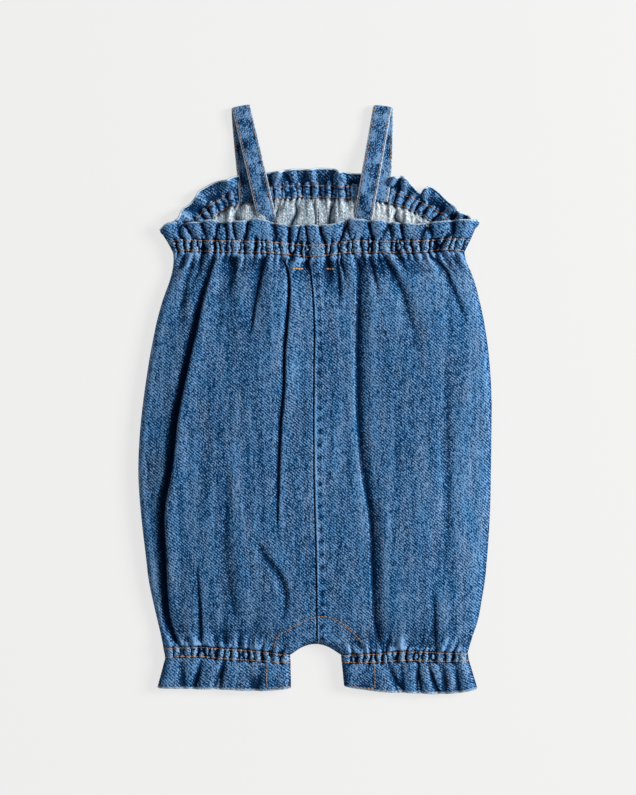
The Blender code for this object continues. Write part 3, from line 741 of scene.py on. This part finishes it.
def denim(name, changes=None):
    look = {**denimLook, **(changes or {})}
    s = Shading(name)
    uv = s.node("ShaderNodeUVMap", {"uv_map": "cloth"})
    threads = s.node("ShaderNodeVectorMath", {"operation": "MULTIPLY"}, {0: uv, 1: (1000, 1000, 1)})
    across = s.node("ShaderNodeSeparateXYZ", {}, {0: threads})
    along = Wire(s, across.socket.node.outputs[1])

    def stretched(acrossScale, alongScale):
        size = (acrossScale, alongScale, 1)
        return s.node("ShaderNodeVectorMath", {"operation": "MULTIPLY"}, {0: threads, 1: size})

    def floats(perMm, alongMm, slant):  # random tones of the short warp floats, in slanted rows
        wale = ((across - along * slant) * perMm).math("FLOOR")
        place = (along * alongMm + wale * 0.37).math("FLOOR")
        cell = s.node("ShaderNodeCombineXYZ", {}, {0: wale, 1: place})
        return s.node("ShaderNodeTexWhiteNoise", {"noise_dimensions": "2D"}, {"Vector": cell}) - 0.5

    coarse = floats(1.35, 1.55, -0.55)
    fine = floats(1.5, 0.6, 0.1)
    yarn = (s.noise(stretched(0.95, 0.09), 1.0, 2.0, 0.8) - 0.5) * 1.3
    streak = s.noise(stretched(0.16, 0.010), 1.0, 2.0, 0.55) - 0.5
    cloud = s.noise(stretched(*look["cloudSize"]), 1.0, 2.0, 0.5) - 0.5
    tint = s.noise(stretched(0.06, 0.02), 1.3, 3.0, 0.7)
    slub = floats(1.35, 0.11, 0.0) * 0.4 + floats(0.8, 0.17, 0.0) * 0.2
    wale = ((across * 0.30 + along * 0.42) * (2 * math.pi)).math("SINE") * (0.8 + coarse)
    # the relief attribute paints light: valleys get painted shade, ridges a lighter tone that is partly rubbed
    # wear and partly painted highlight; the tone attribute adds more painted shade and highlight
    relief = s.attribute("relief")
    ridge = relief.clamped()
    valley = (relief * -0.6).clamped()
    tone = (look["level"] + coarse * look["grain"] + fine * (look["grain"] * 0.6)
            + (yarn + slub) * look["streak"] + streak * (look["streak"] * 1.8)
            + cloud * look["cloud"] + wale * look["twill"]
            + ridge * look["ridge"] - valley * look["valley"] - s.attribute("tone") * look["tone"])
    low = s.mixColour((tone * 2.0).clamped(), look["dark"], look["middle"])
    colour = s.mixColour((tone * 2.0 - 1.0).clamped(), low, look["pale"])
    colour = s.node("ShaderNodeHueSaturation", {}, {"Saturation": tint * 0.6 + 0.74, "Color": colour})
    wearAndPaintedLight = (s.attribute("edge") * look["edge"] * (0.75 + coarse * 0.8)).clamped()
    colour = s.mixColour(wearAndPaintedLight, colour, look["wornTone"])
    s.put(s.shader.inputs["Base Color"], colour)
    s.put(s.shader.inputs["Roughness"], look["roughness"])
    s.put(s.shader.inputs["Specular IOR Level"], look["specular"])
    bump = s.node("ShaderNodeBump", {}, {"Strength": 0.5, "Distance": look["bump"] * 0.001,
                                         "Height": wale * 0.3 + coarse * 1.0 + fine * 0.6})
    s.put(s.shader.inputs["Normal"], bump)
    return s.material


def threadMaterial(name, low, high):
    s = Shading(name)
    where = s.node("ShaderNodeTexCoord", {}, {}, 3)
    tone = s.noise(where, 900.0, 2.0)
    s.put(s.shader.inputs["Base Color"], s.mixColour(tone, low, high))
    s.put(s.shader.inputs["Roughness"], 0.6)
    return s.material


outside = denim("denimOutside")
# the front's and the hems' casings and ruffles are darker copies of the body's denim: their lower levels are
# painted shade of their tight gathers
bandLook = {"level": 0.19, "ridge": 0.50, "valley": 0.95, "cloud": 0.5, "grain": 1.1}
casingLook = {**bandLook, "level": 0.08, "ridge": 0.70, "valley": 1.5, "grain": 1.3, "pale": (0.24, 0.39, 0.57)}
bandOutside = {"casing": denim("denimCasing", casingLook), "ruffle": denim("denimRuffle", bandLook)}
backOutside = denim("denimBackBand", {**bandLook, "level": 0.44, "ridge": 0.36})
hemOutside = {"casing": denim("denimHemCasing", {**casingLook, "level": 0.07}),
              "ruffle": denim("denimHem", {**bandLook, "level": 0.13})}
strapDenim = denim("denimStrap", {
    "level": 0.60,
    "ridge": 0.6,
    "cloud": 0.85,
    "cloudSize": (0.035, 0.20),
    "grain": 1.2,
    "tone": 0.9,
    "edge": 0.9,
    "twill": 0.18,
})
wrongSide = denim("denimWrongSide", {
    "dark": (0.075, 0.110, 0.165),
    "middle": (0.290, 0.370, 0.440),
    "pale": (0.74, 0.79, 0.82),
    "ridge": 0.10,
    "valley": 0.65,
    "grain": 0.6,
    "twill": 0.12,
    "level": 0.44,
})
thread = threadMaterial("copperThread", (0.34, 0.14, 0.045), (0.68, 0.34, 0.14))
strapThread = threadMaterial("strapThread", (0.22, 0.12, 0.07), (0.55, 0.32, 0.19))
barThread = threadMaterial("barThread", (0.62, 0.30, 0.10), (0.86, 0.50, 0.22))
print("materials made")


reliefScales = [(2.0, 1.0), (6.0, 1.0), (18.0, 0.5)]  # widths in columns, and weights


def reliefOf(points):  # how far the cloth stands above its surroundings, in mm
    z = points[..., 2]
    total = np.zeros_like(z)
    for sigma, weight in reliefScales:
        total += weight * (z - blurred(blurred(z, sigma * 0.6, 0), sigma, 1))
    return total


def putAttribute(mesh, name, values):
    layer = mesh.attributes.new(name, "FLOAT", "POINT")
    layer.data.foreach_set("value", np.ascontiguousarray(values, np.float32))


def putUv(mesh, uv):  # uv has a row for each vertex, in millimetres of cloth
    layer = mesh.uv_layers.new(name="cloth")
    corners = np.empty(len(mesh.loops), np.int32)
    mesh.loops.foreach_get("vertex_index", corners)
    layer.data.foreach_set("uv", (uv * 0.001)[corners].astype(np.float32).ravel())


def joinMesh(node, vertices, faces, materials):
    first, *rest = node.split("_")
    name = first + "".join(word[:1].upper() + word[1:] for word in rest)
    mesh = bpy.data.meshes.new(name)
    mesh.from_pydata(vertices * 0.001, [], faces)
    for material in materials:
        mesh.materials.append(material)
    mesh.shade_smooth()
    piece = bpy.data.objects.new(name, mesh)
    bpy.context.scene.collection.objects.link(piece)
    return piece


def takePlace(piece, node):
    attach(piece, "root")
    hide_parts(node)


pieces = {}


def placeCloth(node, points, uv, wall, skins, faceUp, flat, tones=None, rounding=0.0, rim=1.0):
    # points is one face of the cloth, as rows and columns; the other face is wall below it, or above it if
    # the cloth faces down. The flat values are 0 where the cloth rolls down to a seam.
    rows, columns = points.shape[:2]
    normals = surfaceNormals(points)
    if faceUp:
        upper, lower = points, points - normals * wall
    else:
        upper, lower = points + normals * wall, points.copy()
    lower[..., 2] = np.maximum(lower[..., 2], 0.0)
    upper[..., 2] = np.maximum(upper[..., 2], lower[..., 2] + 0.35 * wall)
    index = np.arange(rows * columns).reshape(rows, columns)

    def quads(a):
        return np.stack([a[:-1, :-1], a[:-1, 1:], a[1:, 1:], a[1:, :-1]], 2).reshape(-1, 4)

    # the rim is a middle line between the two faces, pushed outwards where the edge is round
    ring = np.concatenate([index[0, :-1], index[:-1, -1], index[-1, :0:-1], index[:0:-1, 0]])
    upperList, lowerList = upper.reshape(-1, 3), lower.reshape(-1, 3)
    edgeTop, edgeLow = upperList[ring], lowerList[ring]
    ahead = np.roll(edgeTop, -1, 0) - np.roll(edgeTop, 1, 0)
    outward = np.cross(ahead, normals.reshape(-1, 3)[ring])
    outward /= np.linalg.norm(outward, axis=1, keepdims=True) + 1e-9
    middle = (edgeTop + edgeLow) / 2 + outward * rounding
    ringMid = 2 * rows * columns + np.arange(len(ring))
    ringLow = ring + rows * columns
    nextRing, nextMid, nextLow = (np.roll(part, -1) for part in (ring, ringMid, ringLow))
    topFaces = quads(index)
    lowFaces = quads(index + rows * columns)[:, ::-1]
    rimTop = np.stack([ring, ringMid, nextMid, nextRing], 1)
    rimLow = np.stack([ringMid, ringLow, nextLow, nextMid], 1)
    faces = np.concatenate([topFaces, lowFaces, rimTop, rimLow])
    piece = joinMesh(node, np.concatenate([upperList, lowerList, middle]), faces.tolist(), skins)
    slots = [0] * len(topFaces) + [1] * len(lowFaces) + [0 if faceUp else 1] * (2 * len(ring))
    piece.data.polygons.foreach_set("material_index", slots)

    # relief becomes painted shade in the valleys and a lighter ridge tone, partly wear and partly painted
    # highlight
    relief = (reliefOf(upper) * flat).ravel()
    putAttribute(piece.data, "relief", np.concatenate([relief, -relief, relief[ring]]))
    # the tone attribute carries painted shade and painted highlight, with a few plain tone shifts
    tones = np.zeros(rows * columns) if tones is None else tones.ravel()
    putAttribute(piece.data, "tone", np.concatenate([tones, 0 * tones, tones[ring]]))
    edges = np.zeros((rows, columns))
    if rounding:
        edges[-1] = rim
        edges[-2] = 0.35 * rim ** 2
    edges = edges.ravel()
    putAttribute(piece.data, "edge", np.concatenate([edges, edges, edges[ring]]))
    uv = uv.reshape(-1, 2)
    putUv(piece.data, np.concatenate([uv, uv, uv[ring]]))
    takePlace(piece, node)
    pieces[node] = {"object": piece, "upper": upper, "normals": normals}


middle = grid["columns"] // 2
for layer, sheet in sheets.items():
    isFront = layer == "front"
    skins = [outside, wrongSide] if isFront else [wrongSide, outside]
    for side, cut in (("left", np.s_[:, :middle + 1]), ("right", np.s_[:, middle:])):
        points, uv = sheet["panel"]
        placeCloth(f"{layer}_panel_{side}", points[cut].copy(), uv[cut], levels["panelWall"], skins, isFront,
                   sheet["flat"][cut], sheet["tones"][cut])
    for part in ("casing", "ruffle"):
        neckSkin = bandOutside[part] if isFront else backOutside
        for where, node, skin, rim in (("neck", f"{layer}_{part}", neckSkin, 1.0 if isFront else 2.2),
                                       ("left", f"{layer}_leg_{part}_left", hemOutside[part], 1.0),
                                       ("right", f"{layer}_leg_{part}_right", hemOutside[part], 1.0)):
            points, uv = sheet[where][part]
            placeCloth(node, points, uv, levels["bandWall"], [skin, skin], isFront, sheet[where]["flat"],
                       rounding=0.5 if part == "ruffle" else 0.0, rim=rim)
print("panels, casings and ruffles placed:", len(pieces))


StrapPoint = namedtuple("StrapPoint", "x y z turn")
strapSizes = {"width": 14.3, "thickness": 1.8, "stitchInset": 1.7, "step": 1.0, "around": 32, "shift": 2.0,
              "rise": 3.6}
strapPaths = {
    "left": rowsOf(
        StrapPoint,
        (-53.2, 151.5, 4.4, 5), (-54.2, 163, 4.5, 5), (-55.4, 176, 4.5, 5), (-56.6, 188, 2.8, 5),
        (-57.8, 201, 1.2, 5), (-58.9, 214, 1.0, 6), (-59.2, 220.5, 1.3, 8), (-59.2, 223.4, 2.6, 10),
        (-58.9, 223.4, 4.2, 11), (-58.3, 220.5, 5.5, 13), (-56.2, 212, 5.4, 13), (-53.4, 200, 5.4, 13),
        (-50.4, 187, 6.2, 13), (-47.6, 175, 7.0, 13), (-44.6, 162, 6.8, 13), (-41.4, 148, 6.2, 13),
        (-38.6, 136, 6.0, 13), (-33.4, 114, 6.0, 13),
    ),
    "right": rowsOf(
        StrapPoint,
        (46.2, 151.5, 4.4, -5), (48.0, 163, 4.5, -4), (49.2, 176, 4.5, -2), (49.9, 188, 2.8, -1),
        (50.3, 201, 1.2, -1), (50.4, 214, 1.0, -2), (50.3, 220.5, 1.3, -4), (50.0, 223.4, 2.6, -6),
        (49.6, 223.4, 4.2, -8), (48.8, 220.5, 5.5, -10), (47.3, 212, 5.4, -10), (45.2, 200, 5.4, -10),
        (42.9, 187, 6.2, -10), (40.8, 175, 7.0, -10), (38.5, 162, 6.8, -10), (36.0, 148, 6.2, -10),
        (34.0, 136, 6.0, -10), (30.6, 114, 6.0, -10),
    ),
}


def makeStrap(side, path):
    size = strapSizes
    at = np.array([(q.x + size["shift"], q.y, q.z) for q in path])
    turn = np.radians(column(path, "turn"))
    length = np.concatenate([[0], np.cumsum(np.linalg.norm(np.diff(at, axis=0), axis=1))])
    rows = int(length[-1] / size["step"])
    s = np.linspace(0, length[-1], rows)
    centre = np.stack([smoothCurve(length, at[:, k], s) for k in range(3)], 1)
    turn = smoothCurve(length, turn, s)
    forward = s > length[8]  # the front half of the strap rides over the back's ruffle
    centre[:, 2] += size["rise"] * forward * ease(137, 149, centre[:, 1]) * (1 - ease(176, 205, centre[:, 1]))
    widthWay = np.stack([np.cos(turn), np.sin(turn), 0 * turn], 1)
    ahead = np.gradient(centre, axis=0)
    ahead /= np.linalg.norm(ahead, axis=1, keepdims=True)
    faceWay = np.cross(ahead, widthWay)
    faceWay /= np.linalg.norm(faceWay, axis=1, keepdims=True)
    around = np.arange(size["around"]) / size["around"] * 2 * math.pi
    u = np.sign(np.cos(around)) * np.abs(np.cos(around)) ** 0.45  # a flat section with round edges
    n = np.sign(np.sin(around)) * np.abs(np.sin(around)) ** 0.75
    rng = np.random.default_rng(77 if side == "left" else 78)
    puff = {k: wander(rows, 2.6, rng) for k in (-1, 1)}
    u, n = u + np.zeros((rows, 1)), n + np.zeros((rows, 1))
    inset = size["width"] / 2 - size["stitchInset"]
    crossAt = u * size["width"] / 2
    groove = np.exp(-((np.abs(crossAt) - inset) / 0.7) ** 2)
    ripple = np.where(crossAt < 0, puff[-1][:, None], puff[1][:, None])
    swell = 0.22 * ripple * np.exp(-((np.abs(crossAt) - inset + 1.6) / 1.8) ** 2)
    half = size["thickness"] / 2 * (1 - 0.22 * groove) + swell
    points = centre[:, None] + widthWay[:, None] * crossAt[..., None] + faceWay[:, None] * (n * half)[..., None]
    points[..., 2] = np.maximum(points[..., 2], 0.05)
    index = np.arange(rows * size["around"]).reshape(rows, size["around"])
    turned = np.roll(index, -1, 1)
    faces = np.stack([index[:-1], index[1:], turned[1:], turned[:-1]], 2).reshape(-1, 4).tolist()
    faces.append(index[0].tolist())
    faces.append(index[-1, ::-1].tolist())
    piece = joinMesh(f"strap_{side}", points.reshape(-1, 3), faces, [strapDenim])
    # swells get the lighter ridge tone (wear and painted highlight), the stitch grooves painted shade
    putAttribute(piece.data, "relief", (swell * 2.2 - groove * 0.25).ravel())
    putAttribute(piece.data, "edge", ease(0.82, 0.97, np.abs(u)).ravel())
    # painted shade in the dips between the strap's puckers, with random mottling along the strap
    puckerShadeAndMottling = -ripple * np.exp(-((np.abs(crossAt) - inset + 1.5) / 2.6) ** 2)
    puckerShadeAndMottling += 0.5 * wander(rows, 2.2, rng)[:, None] * np.exp(-(crossAt / 4.0) ** 2)
    putAttribute(piece.data, "tone", (puckerShadeAndMottling * 0.8).ravel())
    uv = np.stack([(crossAt + (n < 0) * 20) * 1.2, s[:, None] * 1.05 + 0 * crossAt], 2)
    putUv(piece.data, uv.reshape(-1, 2))
    takePlace(piece, f"strap_{side}")
    depth = size["thickness"] / 2 * 0.8  # of the stitches, from the middle of the strap
    stitchLines = [(centre + widthWay * edgeSide * inset + faceWay * face * depth, faceWay * face)
                   for edgeSide in (-1, 1) for face in (-1, 1)]
    return {"object": piece, "centre": centre, "widthWay": widthWay, "faceWay": faceWay, "lines": stitchLines}


straps = {side: makeStrap(side, path) for side, path in strapPaths.items()}
print("straps made")


stitchSizes = {"length": 2.3, "gap": 0.55, "radius": 0.27, "sides": 5, "rowLift": 0.12}


def stitchAlong(points, normals, length=None, gap=None):  # short raised threads that dive in at both ends
    length = length or stitchSizes["length"]
    gap = gap or stitchSizes["gap"]
    steps = np.concatenate([[0], np.cumsum(np.linalg.norm(np.diff(points, axis=0), axis=1))])
    starts = np.arange(0.2, steps[-1] - length, length + gap)
    if len(starts) == 0:
        starts = np.array([0.0])
        length = steps[-1]

    def sample(array, at):
        return np.stack([np.interp(at, steps, array[:, k]) for k in range(3)], -1)

    shares = np.array([0, 0.14, 0.5, 0.86, 1])
    lift = np.array([-0.18, 0.10, 0.20, 0.10, -0.18])
    thick = np.array([0.45, 0.95, 1.0, 0.95, 0.45]) * stitchSizes["radius"]
    a, b = sample(points, starts), sample(points, starts + length)
    up = sample(normals, starts + length / 2)
    up /= np.linalg.norm(up, axis=1, keepdims=True)
    ahead = b - a
    side = np.cross(ahead, up)
    side /= np.linalg.norm(side, axis=1, keepdims=True) + 1e-9
    spin = np.arange(stitchSizes["sides"]) / stitchSizes["sides"] * 2 * math.pi
    mids = a[:, None] + ahead[:, None] * shares[:, None] + up[:, None] * lift[:, None]
    ringWay = side[:, None] * np.cos(spin)[:, None] + up[:, None] * np.sin(spin)[:, None]
    return mids[:, :, None] + ringWay[:, None] * thick[:, None, None]


def makeStitches(name, runs, yarn=thread):
    blocks = np.concatenate([stitchAlong(*run) for run in runs])
    blocks[..., 2] = np.maximum(blocks[..., 2], 0.0)
    count, rings, sides = blocks.shape[:3]
    index = np.arange(count * rings * sides).reshape(count, rings, sides)
    turned = np.roll(index, -1, 2)
    walls = np.stack([index[:, :-1], turned[:, :-1], turned[:, 1:], index[:, 1:]], 3).reshape(-1, 4)
    caps = np.concatenate([index[:, 0, ::-1], index[:, -1]]).reshape(-1, sides)
    piece = joinMesh(name, blocks.reshape(-1, 3), walls.tolist() + caps.tolist(), [yarn])
    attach(piece, "root")


def rowRun(node, row):  # a line of stitches along a row of a placed piece
    normals = pieces[node]["normals"][row]
    return pieces[node]["upper"][row] + normals * stitchSizes["rowLift"], normals


def surfaceRun(path, nodes, lift=0.15):  # a line of stitches laid over placed pieces along a path of (x, y)
    path = np.array(path, float)
    length = np.concatenate([[0], np.cumsum(np.hypot(*np.diff(path, axis=0).T))])
    at = np.linspace(0, length[-1], max(4, int(length[-1] / 0.8)))
    x, y = smoothCurve(length, path[:, 0], at), smoothCurve(length, path[:, 1], at)
    spots = np.concatenate([pieces[node]["upper"].reshape(-1, 3) for node in nodes])
    ups = np.concatenate([pieces[node]["normals"].reshape(-1, 3) for node in nodes])
    nearest = [np.argmin((spots[:, 0] - a) ** 2 + (spots[:, 1] - b) ** 2) for a, b in zip(x, y)]
    z = blurred(spots[nearest, 2][None, :], 1.0, 1)[0]
    normals = ups[nearest]
    return np.stack([x, y, z], 1) + normals * lift, normals


for layer in ("front", "back"):
    runs = [rowRun(f"{layer}_casing", 1), rowRun(f"{layer}_casing", -2)]
    makeStitches(f"{layer}NeckStitches", runs)
    for side in ("left", "right"):
        node = f"{layer}_leg_casing_{side}"
        makeStitches(f"{layer}LegStitches{side.title()}", [rowRun(node, 1), rowRun(node, -2)])
for side, strap in straps.items():
    rear = np.argmin(np.abs(strap["centre"][:60, 1] - (160.9 if side == "left" else 162.8)))
    reachOut = np.linspace(-5.2, 5.2, 12)[:, None]
    cross = strap["centre"][rear] + strap["widthWay"][rear] * reachOut + strap["faceWay"][rear] * 0.9
    runs = [*strap["lines"], (cross, np.repeat(strap["faceWay"][rear][None, :], 12, 0))]
    makeStitches(f"strapStitches{side.title()}", runs, strapThread)
frontPanels = ["front_panel_left", "front_panel_right"]
crotchArc = [(-31.3, -189.6), (-29.4, -182), (-20.5, -175.7), (-10.4, -170.1), (-0.4, -166.1), (9.8, -166.1),
             (19.8, -170.7), (29.9, -179.5), (36.2, -186.9)]
makeStitches("crotchStitches", [surfaceRun(crotchArc, frontPanels)])
bars = [surfaceRun([(a, y + lower), (b, y + lower - 0.2), (c, y + lower - 0.4 * (a < 0))], frontPanels, 0.3)
        for a, b, c, y in ((-17.9, -13, -8, 99.9), (8, 11.5, 14.9, 99.7)) for lower in (0, -0.5)]
makeStitches("barStitches", [(*bar, 2.0, 0.2) for bar in bars], barThread)
facings = {"left": [(-37, -203), (-37.4, -212), (-37, -219.8), (-36.5, -220.2), (-28, -220.2), (-20, -219.6)],
           "right": [(45, -203.5), (45.4, -212), (45, -220.8), (44.5, -221.0), (36, -220.4), (27, -219.6)]}
for side, line in facings.items():
    node = f"front_leg_ruffle_{side}"
    runs = [surfaceRun(line[:3], [node]), surfaceRun(line[3:], [node])]
    makeStitches(f"facingStitches{side.title()}", runs)
print("stitches sewn")


cuts = {  # width, length and, where the cut isn't a rectangle, area
    "front_panel_left": (0.170, 0.312, 0.0475),
    "front_panel_right": (0.170, 0.312, 0.0475),
    "back_panel_left": (0.170, 0.350, 0.0510),
    "back_panel_right": (0.170, 0.350, 0.0510),
    "front_casing": (0.340, 0.010, None),
    "back_casing": (0.340, 0.010, None),
    "front_ruffle": (0.340, 0.016, None),
    "back_ruffle": (0.340, 0.016, None),
    "leg_casing": (0.140, 0.010, 0.0012),
    "leg_ruffle": (0.140, 0.024, None),
}


def declareCloth():
    for name, made in pieces.items():
        layer, *rest = name.split("_")
        kind = name if name in cuts else "_".join(rest[:2])
        under = [] if layer == "back" else [name.replace("front", "back")]


declareCloth()


studio = {
    "floorTone": (0.14, 0.14, 0.139, 1.0),
    "floorGlow": 0.725,
    "floorReach": 4.0,
    "floorHeight": -0.0002,
    "key": 165.0,
    "keySize": 1.3,
    "keyPlace": (2.75, 0.6, 1.9),
    "keyColour": (1.0, 0.985, 0.96),
    "dome": 0.30,
    "domeColour": (0.97, 0.985, 1.0, 1.0),
    "eye": (0.0019, 0.00114, 2.4),
    "aimHeight": 0.012,
    "tall": 0.60635,  # of what the camera sees at that height
}


def makeFloor():
    s = Shading("paleTable")
    s.put(s.shader.inputs["Base Color"], studio["floorTone"])
    s.put(s.shader.inputs["Emission Color"], (1.0, 1.0, 0.995, 1.0))
    s.put(s.shader.inputs["Emission Strength"], studio["floorGlow"])
    s.put(s.shader.inputs["Roughness"], 0.9)
    s.put(s.shader.inputs["Specular IOR Level"], 0.1)
    mesh = bpy.data.meshes.new("table")
    reach, height = studio["floorReach"], studio["floorHeight"]
    corners = [(x * reach, y * reach, height) for x, y in ((-1, -1), (1, -1), (1, 1), (-1, 1))]
    mesh.from_pydata(corners, [], [(0, 1, 2, 3)])
    mesh.materials.append(s.material)
    floor = bpy.data.objects.new("table", mesh)
    bpy.context.scene.collection.objects.link(floor)


def makeLights():
    world = bpy.data.worlds.new("studio")
    world.use_nodes = True
    background = world.node_tree.nodes["Background"]
    background.inputs["Color"].default_value = studio["domeColour"]
    background.inputs["Strength"].default_value = studio["dome"]
    bpy.context.scene.world = world
    key = bpy.data.lights.new("key", "AREA")
    key.energy = studio["key"]
    key.size = studio["keySize"]
    key.color = studio["keyColour"]
    lamp = bpy.data.objects.new("key", key)
    lamp.location = studio["keyPlace"]
    bpy.context.scene.collection.objects.link(lamp)
    lamp.rotation_mode = "QUATERNION"
    lamp.rotation_quaternion = (-lamp.location.normalized()).to_track_quat("-Z", "Y")


def makeCamera():
    lens = bpy.data.cameras.new("camera")
    lens.sensor_width = 36.0
    lens.lens = lens.sensor_width * (studio["eye"][2] - studio["aimHeight"]) / studio["tall"]
    camera = bpy.data.objects.new("camera", lens)
    camera.location = studio["eye"]
    bpy.context.scene.collection.objects.link(camera)
    bpy.context.scene.camera = camera


makeFloor()
makeLights()
makeCamera()
bpy.context.scene.view_settings.view_transform = "Standard"
